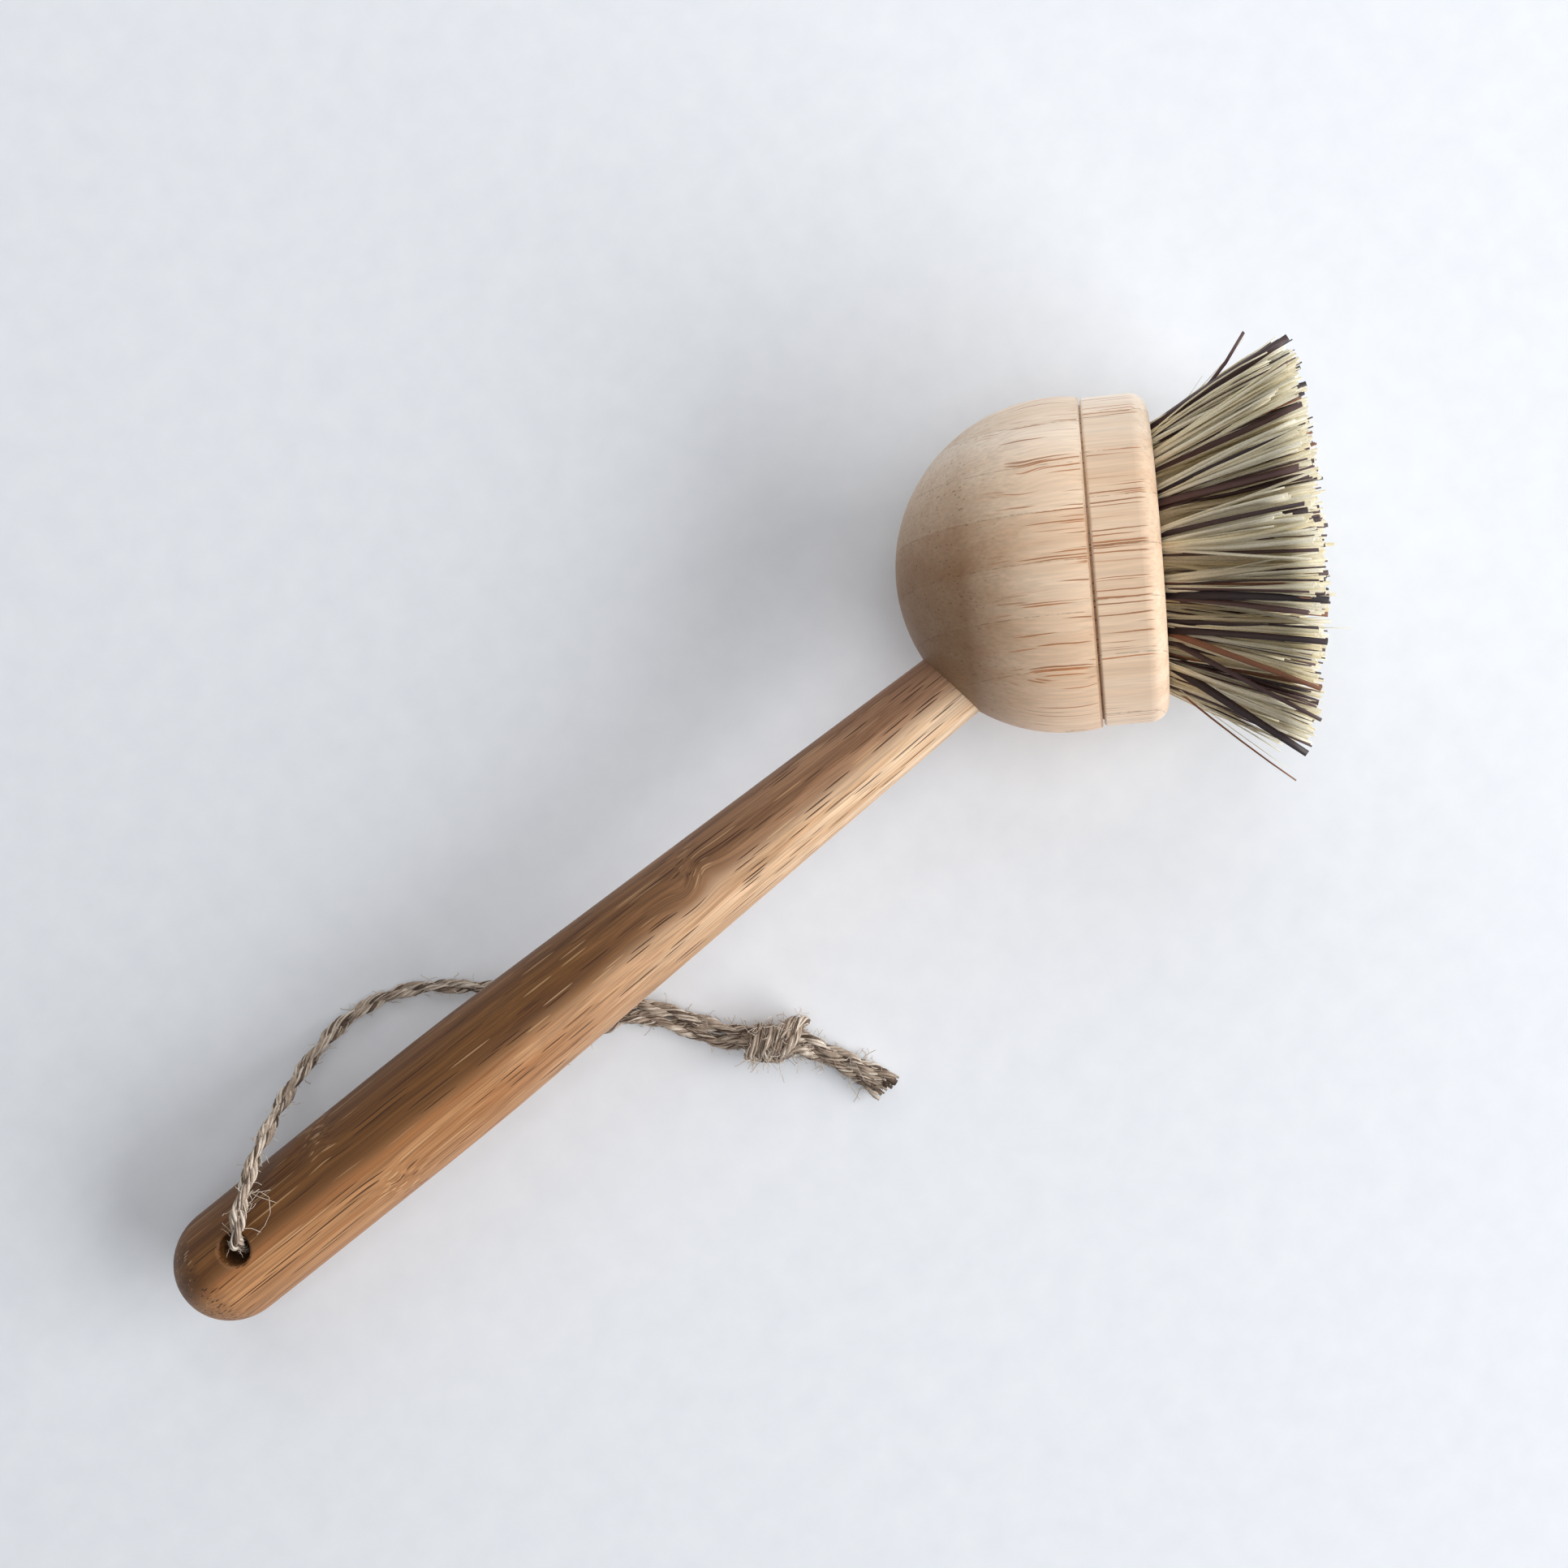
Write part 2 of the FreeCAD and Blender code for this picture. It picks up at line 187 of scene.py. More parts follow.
def cane_node(tree, across, along, middle, distance, push, reach):
    """How far, in mm, an old node of the cane pushes the grain sideways, and how near it is, 0 to 1."""
    reach_across = 2.6
    steps = add_node(tree, "Math", {0: along, 1: distance}, operation="SUBTRACT")
    steps = add_node(tree, "Math", {0: steps, 1: reach}, operation="DIVIDE")
    steps = add_node(tree, "Math", {0: steps, 1: 2.0}, operation="POWER")
    sides = add_node(tree, "Math", {0: across, 1: middle}, operation="SUBTRACT")
    sides = add_node(tree, "Math", {0: sides, 1: reach_across}, operation="DIVIDE")
    sides = add_node(tree, "Math", {0: sides, 1: 2.0}, operation="POWER")
    away = add_node(tree, "Math", {0: steps, 1: sides}, operation="ADD")
    away = add_node(tree, "Math", {0: away, 1: 1.0}, operation="ADD")
    near = add_node(tree, "Math", {0: 1.0, 1: away}, operation="DIVIDE")
    bulge = add_node(tree, "Math", {0: near, 1: push}, operation="MULTIPLY")
    return bulge.outputs[0], near.outputs[0]


# Nodes of the cane, in mm: middle across the handle, distance from the butt, push and reach.
first_kink, first_near = cane_node(tree, across, along, 1.4, 111.6, -1.7, 2.6)
second_kink, second_near = cane_node(tree, across, along, 1.8, 116.2, 1.6, 2.4)
long_kink = add_node(tree, "Math", {0: first_kink, 1: second_kink}, operation="ADD").outputs[0]
long_near = add_node(tree, "Math", {0: first_near, 1: second_near}, operation="MAXIMUM").outputs[0]
light_kink, light_near = cane_node(tree, across, along, -6.9, 44.0, -1.2, 2.4)
dark_kink, dark_near = cane_node(tree, across, along, 7.1, 37.0, 1.2, 2.2)
sway = add_node(tree, "VectorMath", {0: local, 1: (0.05, 0.05, 0.018)}, operation="MULTIPLY")
sway = add_node(tree, "TexNoise", {"Vector": sway, "Scale": 1.0, "Detail": 2.0})
shift = add_node(tree, "Math", {0: sway, 1: 1.6, 2: long_kink}, operation="MULTIPLY_ADD")
shift = add_node(tree, "Math", {0: shift, 1: light_kink}, operation="ADD")
shift = add_node(tree, "Math", {0: shift, 1: dark_kink}, operation="ADD")
shift = add_node(tree, "Math", {0: across, 1: shift}, operation="SUBTRACT")
grain = add_node(tree, "CombineXYZ", {"X": shift, "Y": parts.outputs["Y"], "Z": along})
# Vessels: cells 0.44 mm across and 22 mm long, of which the core shows as a dash 0.25 mm wide and
# up to 13 mm long, more of it at the long node. Some are dark and open, some are filled and pale.
cells = add_node(tree, "VectorMath", {0: grain, 1: (1 / 0.44, 1 / 0.44, 1 / 22.0)}, operation="MULTIPLY")
vessel = add_node(tree, "TexVoronoi", {"Vector": cells, "Scale": 1.0}, feature="F1")
core = add_node(tree, "Math", {0: long_near, 1: -0.10, 2: vessel.outputs["Distance"]},
                operation="MULTIPLY_ADD")
core = add_node(tree, "MapRange", {"Value": core, "From Min": 0.26, "From Max": 0.32, "To Min": 1.0,
                                   "To Max": 0.0})
chosen = add_node(tree, "SeparateColor", {0: vessel.outputs["Color"]})
chosen = add_node(tree, "Math", {0: long_near, 1: -0.10, 2: chosen}, operation="MULTIPLY_ADD")
dark_ones = add_node(tree, "MapRange", {"Value": chosen, "From Min": 0.42, "From Max": 0.56})
pale_ones = add_node(tree, "MapRange", {"Value": chosen, "From Min": 0.30, "From Max": 0.15})
dark_lines = add_node(tree, "Math", {0: core, 1: dark_ones}, operation="MULTIPLY")
pale_lines = add_node(tree, "Math", {0: core, 1: pale_ones}, operation="MULTIPLY")
# Flecks: at the two nodes near the butt the cut grain shows as pale chips, 0.3 by 3 mm.
chips = add_node(tree, "VectorMath", {0: grain, 1: (1 / 0.55, 1 / 0.55, 1 / 5.0)}, operation="MULTIPLY")
chips = add_node(tree, "TexVoronoi", {"Vector": chips, "Scale": 1.0}, feature="F1")
chip_core = add_node(tree, "MapRange", {"Value": chips.outputs["Distance"], "From Min": 0.24,
                                        "From Max": 0.32, "To Min": 1.0, "To Max": 0.0})
node_near = add_node(tree, "Math", {0: light_near, 1: dark_near}, operation="ADD")
node_near = add_node(tree, "MapRange", {"Value": node_near, "From Min": 0.40, "From Max": 0.70})
flecks = add_node(tree, "Math", {0: chip_core, 1: node_near}, operation="MULTIPLY")
# Broad bands 2.2 mm wide and 90 mm long, and fine fibre lines 0.3 mm wide and 22 mm long.
bands = add_node(tree, "VectorMath", {0: grain, 1: (1 / 2.2, 1 / 2.2, 1 / 90.0)}, operation="MULTIPLY")
bands = add_node(tree, "TexNoise", {"Vector": bands, "Scale": 1.0, "Detail": 3.0})
fine = add_node(tree, "VectorMath", {0: grain, 1: (1 / 0.3, 1 / 0.3, 1 / 22.0)}, operation="MULTIPLY")
fine = add_node(tree, "TexNoise", {"Vector": fine, "Scale": 1.0, "Detail": 3.0})
# The seam of the two strips wanders by a millimetre, band by band and fibre by fibre. It is also where the
# painted shade on the darker strip begins.
seam_and_shade_edge = add_node(tree, "Math", {0: bands, 1: 4.0, 2: shift}, operation="MULTIPLY_ADD")
seam_and_shade_edge = add_node(tree, "Math", {0: fine, 1: 3.0, 2: seam_and_shade_edge}, operation="MULTIPLY_ADD")
strip = add_node(tree, "MapRange", {"Value": seam_and_shade_edge, "From Min": 3.7, "From Max": 0.1},
                 interpolation_type="SMOOTHSTEP")
tone = add_node(tree, "MapRange", {"Value": bands, "From Min": 0.34, "From Max": 0.66})
# The darker strip's colours are far darker than the lighter strip's: partly its own darker tone, mostly
# painted shade for the side of the handle turned from the light.
darker = add_node(tree, "Mix", {0: tone, 6: linear("#5d3a20"), 7: linear("#835a38")}, data_type="RGBA")
lighter = add_node(tree, "Mix", {0: tone, 6: linear("#b17f50"), 7: linear("#cfa271")}, data_type="RGBA")
dark_neck = add_node(tree, "MapRange", {"Value": along, "From Min": 90.0, "From Max": 165.0})
dark_fade = add_node(tree, "Mix", {0: dark_neck, 4: (0.90, 0.88, 0.72), 5: (2.35, 2.95, 4.40)},
                     data_type="VECTOR")
darker = add_node(tree, "VectorMath", {0: darker.outputs[2], 1: dark_fade.outputs[1]}, operation="MULTIPLY")
light_neck = add_node(tree, "MapRange", {"Value": along, "From Min": 66.0, "From Max": 160.0})
light_fade = add_node(tree, "Mix", {0: light_neck, 4: (0.78, 0.70, 0.70), 5: (1.50, 2.00, 3.10)},
                      data_type="VECTOR")
lighter = add_node(tree, "VectorMath", {0: lighter.outputs[2], 1: light_fade.outputs[1]},
                   operation="MULTIPLY")
# The lighter strip grows darker towards its outer edge, down to 0.8 at 8.5 mm across.
darker_outwards = add_node(tree, "MapRange", {"Value": across, "From Min": -4.0, "From Max": -8.5, "To Min": 1.0,
                                   "To Max": 0.80})
lighter = add_node(tree, "VectorMath", {0: lighter, "Scale": darker_outwards}, operation="SCALE")
ground = add_node(tree, "Mix", {0: strip, 6: darker, 7: lighter}, data_type="RGBA")
fine_dark = add_node(tree, "MapRange", {"Value": fine, "From Min": 0.34, "From Max": 0.66, "To Min": 0.70,
                                        "To Max": 1.20})
ground = add_node(tree, "VectorMath", {0: ground.outputs[2], "Scale": fine_dark}, operation="SCALE")
pale_share = add_node(tree, "Math", {0: pale_lines, 1: 0.5}, operation="MULTIPLY")
pale_share = add_node(tree, "Math", {0: flecks, 1: 0.55, 2: pale_share}, operation="MULTIPLY_ADD",
                      use_clamp=True)
ground = add_node(tree, "Mix", {0: pale_share, 6: ground, 7: linear("#d9b387")}, data_type="RGBA")
dark_share = add_node(tree, "Math", {0: dark_lines, 1: 0.88}, operation="MULTIPLY")
ground = add_node(tree, "Mix", {0: dark_share, 6: ground.outputs[2], 7: linear("#3a1f0d")},
                  data_type="RGBA")
height = add_node(tree, "Math", {0: fine, 1: dark_lines}, operation="SUBTRACT")
relief = add_node(tree, "Bump", {"Strength": 0.5, "Distance": 0.00007, "Height": height})
shine = add_node(tree, "MapRange", {"Value": fine, "To Min": 0.42, "To Max": 0.56})
oiled = add_node(tree, "BsdfPrincipled", {"Base Color": ground.outputs[2], "Roughness": shine, "IOR": 1.45,
                                          "Specular IOR Level": 0.28, "Normal": relief})
add_node(tree, "OutputMaterial", {"Surface": oiled})
handle.data.materials.clear()
handle.data.materials.append(carbonised)

# The dome: strips of natural bamboo glued side by side into a block, turned to a ball with the
# grain along the head's axis, bored and threaded inside, and glued on to the handle's tenon.
dome = frame["nodes"]["dome"]
head_axis = Vector(frame["joints"][1]["axis"]).normalized()
head_centre = Vector(frame["joints"][1]["pos_m"])
head_up = Vector((-0.08811, 0.16755, 0.98192))
head_up = (head_up - head_axis * head_up.dot(head_axis)).normalized()
head_side = head_up.cross(head_axis)
head_frame = Matrix((head_side, head_up, head_axis)).transposed()
head_turn = head_frame.to_euler()


def natural_bamboo(name, first_glue_line, strip_width, streak_length, tone_seed, end_grain, lightness):
    """Bare natural bamboo: pale strips 7 to 8 mm wide with faint glue lines between them, and the
    cane's vessel bundles, which show as rusty streaks along the side and as specks on the end grain."""
    wood = bpy.data.materials.new(name)
    wood.use_nodes = True
    tree = wood.node_tree
    tree.nodes.clear()
    place = add_node(tree, "TexCoord")
    local = add_node(tree, "Mapping", {"Vector": place.outputs["Object"], "Location": head_centre,
                                       "Rotation": head_turn, "Scale": (mm, mm, mm)}, vector_type="TEXTURE")
    parts = add_node(tree, "SeparateXYZ", {0: local})
    side = parts.outputs["X"]
    kink = cane_node(tree, side, parts.outputs["Z"], 8.6, -4.6, 1.5, 2.6)[0]
    # The grain sways by about half a millimetre over 14 mm, and swirls at the old node.
    sway = add_node(tree, "VectorMath", {0: local, 1: (0.16, 0.16, 0.07)}, operation="MULTIPLY")
    sway = add_node(tree, "TexNoise", {"Vector": sway, "Scale": 1.0, "Detail": 3.0})
    sway = add_node(tree, "VectorMath", {0: sway.outputs["Color"], 1: (1.1, 1.1, 0.0)},
                    operation="MULTIPLY")
    grain = add_node(tree, "VectorMath", {0: local, 1: sway}, operation="ADD")
    swirl = add_node(tree, "CombineXYZ", {"X": kink})
    grain = add_node(tree, "VectorMath", {0: grain, 1: swirl}, operation="ADD")
    count = add_node(tree, "Math", {0: side, 1: first_glue_line}, operation="SUBTRACT")
    count = add_node(tree, "Math", {0: count, 1: strip_width}, operation="DIVIDE")
    number = add_node(tree, "Math", {0: count}, operation="FLOOR")
    within = add_node(tree, "Math", {0: count}, operation="FRACT")
    from_middle = add_node(tree, "Math", {0: within, 1: 0.5}, operation="SUBTRACT")
    from_middle = add_node(tree, "Math", {0: from_middle}, operation="ABSOLUTE")
    glue = add_node(tree, "MapRange", {"Value": from_middle, "From Min": 0.484, "From Max": 0.498})
    rind = add_node(tree, "MapRange", {"Value": from_middle, "From Min": 0.22, "From Max": 0.46})
    number = add_node(tree, "Math", {0: number, 1: tone_seed}, operation="ADD")
    tone = add_node(tree, "TexWhiteNoise", {"W": number}, noise_dimensions="1D")
    # End grain: where the surface faces along the grain, it drinks in light and shows darker.
    ends = add_node(tree, "VectorMath", {0: place.outputs["Normal"], 1: head_axis}, operation="DOT_PRODUCT")
    ends = add_node(tree, "Math", {0: ends.outputs["Value"], 1: 2.0}, operation="POWER")
    ends = add_node(tree, "MapRange", {"Value": ends, "From Min": 0.01, "From Max": 0.30})
    # Bundles: 0.32 mm apart along the surface and 2.4 mm deep into it, their core 0.2 mm wide.
    # Most show near a strip's outer side.
    to_side = add_node(tree, "VectorMath", {0: place.outputs["Normal"], 1: head_side},
                       operation="DOT_PRODUCT")
    to_side = add_node(tree, "Math", {0: to_side.outputs["Value"]}, operation="ABSOLUTE")
    to_side = add_node(tree, "Math", {0: to_side, 1: 0.75}, operation="GREATER_THAN")
    cell_size = add_node(tree, "Mix", {0: to_side, 4: (1 / 0.32, 1 / 2.4, 1 / streak_length),
                                       5: (1 / 2.4, 1 / 0.32, 1 / streak_length)}, data_type="VECTOR")
    cells = add_node(tree, "VectorMath", {0: grain, 1: cell_size.outputs[1]}, operation="MULTIPLY")
    bundle = add_node(tree, "TexVoronoi", {"Vector": cells, "Scale": 1.0}, feature="F1")
    core = add_node(tree, "MapRange", {"Value": bundle.outputs["Distance"], "From Min": 0.33,
                                       "From Max": 0.42, "To Min": 1.0, "To Max": 0.0})
    chosen = add_node(tree, "SeparateColor", {0: bundle.outputs["Color"]})
    rare = add_node(tree, "MapRange", {"Value": rind, "To Min": 0.82, "To Max": 0.22})
    shows = add_node(tree, "Math", {0: chosen, 1: rare}, operation="SUBTRACT")
    shows = add_node(tree, "MapRange", {"Value": shows, "From Min": 0.0, "From Max": 0.08})
    streak = add_node(tree, "Math", {0: core, 1: shows}, operation="MULTIPLY")
    # Pores: 0.45 mm apart, seen as a fine speckle. Clouds of tone: 3 mm wide and 45 mm long.
    pores = add_node(tree, "VectorMath", {0: grain, 1: (1 / 0.45, 1 / 0.45, 1 / 12.0)},
                     operation="MULTIPLY")
    pores = add_node(tree, "TexNoise", {"Vector": pores, "Scale": 1.0, "Detail": 2.0})
    cloud = add_node(tree, "VectorMath", {0: grain, 1: (1 / 3.0, 1 / 3.0, 1 / 45.0)}, operation="MULTIPLY")
    cloud = add_node(tree, "TexNoise", {"Vector": cloud, "Scale": 1.0, "Detail": 3.0})
    mixed = add_node(tree, "Math", {0: tone.outputs["Value"], 1: 0.45, 2: cloud}, operation="MULTIPLY_ADD")
    mixed = add_node(tree, "MapRange", {"Value": mixed, "From Min": 0.35, "From Max": 1.05})
    warm = add_node(tree, "Mix", {0: mixed, 6: linear("#dcb897"), 7: linear("#efd6bb")}, data_type="RGBA")
    pale = add_node(tree, "Mix", {0: mixed, 6: linear("#e2cbb2"), 7: linear("#f4e4d2")}, data_type="RGBA")
    # The outer strips at the top are paler. The lower strips are painted a little paler too, up to 0.15 of
    # the way: painted bounce light on the lower side.
    outer = add_node(tree, "MapRange", {"Value": side, "From Min": 9.0, "From Max": 19.0})
    lower = add_node(tree, "MapRange", {"Value": side, "From Min": -13.0, "From Max": -24.0,
                                        "To Max": 0.15})
    outer = add_node(tree, "Math", {0: outer, 1: lower}, operation="MAXIMUM")
    ground = add_node(tree, "Mix", {0: outer, 6: warm.outputs[2], 7: pale.outputs[2]}, data_type="RGBA")
    speck = add_node(tree, "MapRange", {"Value": pores, "From Min": 0.30, "From Max": 0.70,
                                        "To Min": 0.88 * lightness, "To Max": 1.06 * lightness})
    # The end grain's darkening is partly its own and partly painted shade: it is painted darker towards the
    # lower strips, on the side turned from the light, to less than half.
    end_grain_and_shade = add_node(tree, "MapRange", {"Value": side, "From Min": -3.0, "From Max": 15.0})
    end_grain_and_shade = add_node(tree, "Mix", {0: end_grain_and_shade, 4: (0.43, 0.35, 0.28), 5: (0.78, 0.77, 0.76)},
                         data_type="VECTOR")
    ends_share = add_node(tree, "Math", {0: ends, 1: end_grain}, operation="MULTIPLY")
    end_grain_and_shade = add_node(tree, "Mix", {0: ends_share, 4: (1.0, 1.0, 1.0), 5: end_grain_and_shade.outputs[1]},
                         data_type="VECTOR")
    ground = add_node(tree, "VectorMath", {0: ground.outputs[2], "Scale": speck}, operation="SCALE")
    ground = add_node(tree, "VectorMath", {0: ground, 1: end_grain_and_shade.outputs[1]}, operation="MULTIPLY")
    rust = add_node(tree, "Mix", {0: chosen.outputs[1], 6: linear("#a06a44"), 7: linear("#c27c4a")},
                    data_type="RGBA")
    streak_most = add_node(tree, "MapRange", {"Value": ends, "From Max": 0.62, "To Min": 0.90,
                                              "To Max": 0.05})
    streak_share = add_node(tree, "Math", {0: streak, 1: streak_most}, operation="MULTIPLY")
    ground = add_node(tree, "Mix", {0: streak_share, 6: ground, 7: rust.outputs[2]}, data_type="RGBA")
    # Pits: cut vessels on the slanting end grain, dark dashes 0.2 mm wide and up to 2 mm long.
    pits = add_node(tree, "VectorMath", {0: grain, 1: (1 / 0.55, 1 / 0.55, 1 / 3.5)}, operation="MULTIPLY")
    pits = add_node(tree, "TexVoronoi", {"Vector": pits, "Scale": 1.0}, feature="F1")
    pit_kind = add_node(tree, "SeparateColor", {0: pits.outputs["Color"]})
    pit_kind = add_node(tree, "MapRange", {"Value": pit_kind, "From Min": 0.35, "From Max": 0.9})
    pit_core = add_node(tree, "MapRange", {"Value": pits.outputs["Distance"], "From Min": 0.20,
                                           "From Max": 0.30, "To Min": 0.55, "To Max": 0.0})
    pit_share = add_node(tree, "Math", {0: pit_core, 1: pit_kind}, operation="MULTIPLY")
    pit_share = add_node(tree, "Math", {0: pit_share, 1: ends_share}, operation="MULTIPLY")
    ground = add_node(tree, "Mix", {0: pit_share, 6: ground.outputs[2], 7: linear("#5f4127")},
                      data_type="RGBA")
    # Glue lines: a hair of dark glue that comes and goes, 0.2 mm wide.
    dots = add_node(tree, "TexNoise", {"Vector": local, "Scale": 1 / 1.1, "Detail": 2.0})
    dots = add_node(tree, "MapRange", {"Value": dots, "From Min": 0.42, "From Max": 0.60, "To Min": 0.05,
                                       "To Max": 0.50})
    glue_share = add_node(tree, "Math", {0: glue, 1: dots}, operation="MULTIPLY")
    ground = add_node(tree, "Mix", {0: glue_share, 6: ground.outputs[2], 7: linear("#755438")},
                      data_type="RGBA")
    height = add_node(tree, "Math", {0: pores, 1: streak}, operation="SUBTRACT")
    relief = add_node(tree, "Bump", {"Strength": 0.3, "Distance": 0.00005, "Height": height})
    bare = add_node(tree, "BsdfPrincipled", {"Base Color": ground.outputs[2], "Roughness": 0.5, "IOR": 1.45,
                                             "Specular IOR Level": 0.3, "Normal": relief})
    add_node(tree, "OutputMaterial", {"Surface": bare})
    return wood


dome_wood = natural_bamboo("natural_bamboo_dome", first_glue_line=3.4, strip_width=7.6, streak_length=16.0,
                           tone_seed=2.0, end_grain=1.0, lightness=1.10)
dome.data.materials.clear()
dome.data.materials.append(dome_wood)

# The brush plate and its spigot: one block of the same bamboo, turned to a thick disc with a
# round front edge and a coarse thread behind it, and drilled with 37 holes for the tufts.
plate_wood = natural_bamboo("natural_bamboo_plate", first_glue_line=5.0, strip_width=7.6,
                            streak_length=28.0, tone_seed=11.0, end_grain=0.0, lightness=1.10)
for name in ("brush_plate", "screw_spigot"):
    piece = frame["nodes"][name]
    piece.data.materials.clear()
    piece.data.materials.append(plate_wood)

# The plate's seat: a low step turned on the back of the plate's block, which meets the dome's rim
# and leaves a groove 1 mm deep all round the joint.
seat_corners = ((12.3, 4.63), (25.3, 4.63), (25.3, 4.87), (12.3, 4.87))
seat_form = bmesh.new()
ring = [seat_form.verts.new(head_centre + head_frame @ Vector((reach, 0.0, height)) * mm)
        for reach, height in seat_corners]
sides = [seat_form.edges.new((ring[index - 1], ring[index])) for index in range(4)]
bmesh.ops.spin(seat_form, geom=ring + sides, cent=head_centre, axis=head_axis, angle=math.tau, steps=128,
               use_merge=True)
bmesh.ops.recalc_face_normals(seat_form, faces=seat_form.faces)
seat_mesh = bpy.data.meshes.new("plate_seat")
seat_form.to_mesh(seat_mesh)
seat_form.free()
seat_mesh.materials.append(plate_wood)
seat = bpy.data.objects.new("plate_seat", seat_mesh)
scene.collection.objects.link(seat)
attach(seat, "brush_head")

# The staples: short pieces of drawn steel wire, one driven into the bottom of each hole over the
# fold of its tuft. Drawn steel: a bright grey metal with fine lines along the wire.
staples = frame["nodes"]["tuft_staples"]
steel = bpy.data.materials.new("drawn_steel_wire")
steel.use_nodes = True
tree = steel.node_tree
tree.nodes.clear()
place = add_node(tree, "TexCoord")
scratches = add_node(tree, "TexNoise", {"Vector": place.outputs["Object"], "Scale": 1 / 0.0003})
shine = add_node(tree, "MapRange", {"Value": scratches, "To Min": 0.25, "To Max": 0.45})
metal = add_node(tree, "BsdfPrincipled", {"Base Color": linear("#9a9a9d"), "Metallic": 1.0,
                                          "Roughness": shine})
add_node(tree, "OutputMaterial", {"Surface": metal})
staples.data.materials.clear()
staples.data.materials.append(steel)

# The tufts: bunches of stiff plant fibre, mostly cream leaf fibre with some dark palm strips,
# folded over a staple in each hole of the plate, fanned out and trimmed to a shallow crown. Sizes
# are in mm in the head's frame. The feet stand inwards, so that each fibre leaves by its own hole.
plate_front = 15.25
foot_height = plate_front - 2.6
hole_spacing = 6.45
tip_spacing = 9.7
foot_lean = 0.28
fan_lean = 0.3
top_spread = 0.035
tufts_per_ring = {"inner": 6, "middle": 12, "outer": 18}


def plant_fibre(name, low, high, roughness):
    """Dry plant fibre: a dull straw with a slight sheen along it, each fibre of its own tone, with
    painted shade in the first millimetres above the wood and towards the trimmed ends."""
    material = bpy.data.materials.new(name)
    material.use_nodes = True
    tree = material.node_tree
    tree.nodes.clear()
    tone = add_node(tree, "Attribute", attribute_name="tone")
    rise = add_node(tree, "Attribute", attribute_name="rise")
    place = add_node(tree, "TexCoord")
    # Stripes along the fibre, 0.12 mm wide and 10 mm long.
    local = add_node(tree, "Mapping", {"Vector": place.outputs["Object"], "Location": head_centre,
                                       "Rotation": head_turn, "Scale": (0.12 * mm, 0.12 * mm, 10.0 * mm)},
                     vector_type="TEXTURE")
    stripes = add_node(tree, "TexNoise", {"Vector": local, "Scale": 1.0, "Detail": 1.0})
    colour = add_node(tree, "Mix", {0: tone.outputs["Fac"], 6: linear(low), 7: linear(high)},
                      data_type="RGBA")
    light = add_node(tree, "MapRange", {"Value": stripes, "From Min": 0.3, "From Max": 0.7, "To Min": 0.88,
                                        "To Max": 1.04})
    # Painted shade: darker in the first millimetres above the wood, where the fibres crowd together at the
    # plate.
    foot_shade = add_node(tree, "MapRange", {"Value": rise.outputs["Fac"], "From Min": 0.05, "From Max": 0.25,
                                        "To Min": 0.75, "To Max": 1.0})
    light = add_node(tree, "Math", {0: light, 1: foot_shade}, operation="MULTIPLY")
    # Painted shade: darker towards the trimmed ends.
    darker_outwards = add_node(tree, "MapRange", {"Value": rise.outputs["Fac"], "From Min": 0.75, "From Max": 1.0,
                                       "To Min": 1.0, "To Max": 0.76})
    light = add_node(tree, "Math", {0: light, 1: darker_outwards}, operation="MULTIPLY")
    colour = add_node(tree, "VectorMath", {0: colour.outputs[2], "Scale": light}, operation="SCALE")
    dry = add_node(tree, "BsdfPrincipled", {"Base Color": colour, "Roughness": roughness,
                                            "Specular IOR Level": 0.35})
    add_node(tree, "OutputMaterial", {"Surface": dry})
    return material


cream_fibre = plant_fibre("cream_leaf_fibre", "#ecdbab", "#fcf5de", 0.5)
dark_strip = plant_fibre("dark_palm_strip", "#2a2024", "#664b48", 0.45)
brown_strip = plant_fibre("brown_palm_strip", "#6b4433", "#a06c50", 0.5)
# One straight fibre, 1 long and six-sided, that every fibre is bent from.
fibre_steps = 5
fibre_form = bmesh.new()
bmesh.ops.create_circle(fibre_form, cap_ends=True, segments=6, radius=1.0)
for step in range(fibre_steps):
    fibre_form.faces.ensure_lookup_table()
    top = max(fibre_form.faces, key=lambda face: face.calc_center_median().z)
    grown = bmesh.ops.extrude_face_region(fibre_form, geom=[top])
    moved = [item for item in grown["geom"] if isinstance(item, bmesh.types.BMVert)]
    bmesh.ops.translate(fibre_form, verts=moved, vec=(0.0, 0.0, 1 / fibre_steps))
bmesh.ops.recalc_face_normals(fibre_form, faces=fibre_form.faces)
fibre_blank = bpy.data.meshes.new("fibre_blank")
fibre_form.to_mesh(fibre_blank)
fibre_form.free()


def add_fibre(form, layers, chance, foot, tip, bow, wide, thick, kind, tone, facing):
    """Lays one fibre from foot to tip, in mm in the head's frame, bowed sideways at its middle, its
    flat side facing a given way."""
    first_vertex = len(form.verts)
    first_face = len(form.faces)
    form.from_mesh(fibre_blank)
    form.verts.ensure_lookup_table()
    form.faces.ensure_lookup_table()
    run = (tip - foot).normalized()
    flat = facing.cross(run).normalized()
    edge = run.cross(flat)
    slim = chance.uniform(0.55, 0.95)
    for vertex in form.verts[first_vertex:]:
        share = vertex.co.z
        place = foot.lerp(tip, share) + bow * (4 * share * (1 - share))
        taper = 1 - (1 - slim) * share
        place += flat * (vertex.co.x * wide / 2 * taper) + edge * (vertex.co.y * thick / 2 * taper)
        vertex[layers["tone"]] = tone
        vertex[layers["rise"]] = share
        vertex.co = head_centre + head_frame @ (place * mm)
    for face in form.faces[first_face:]:
        face.material_index = kind
        face.smooth = len(face.verts) == 4


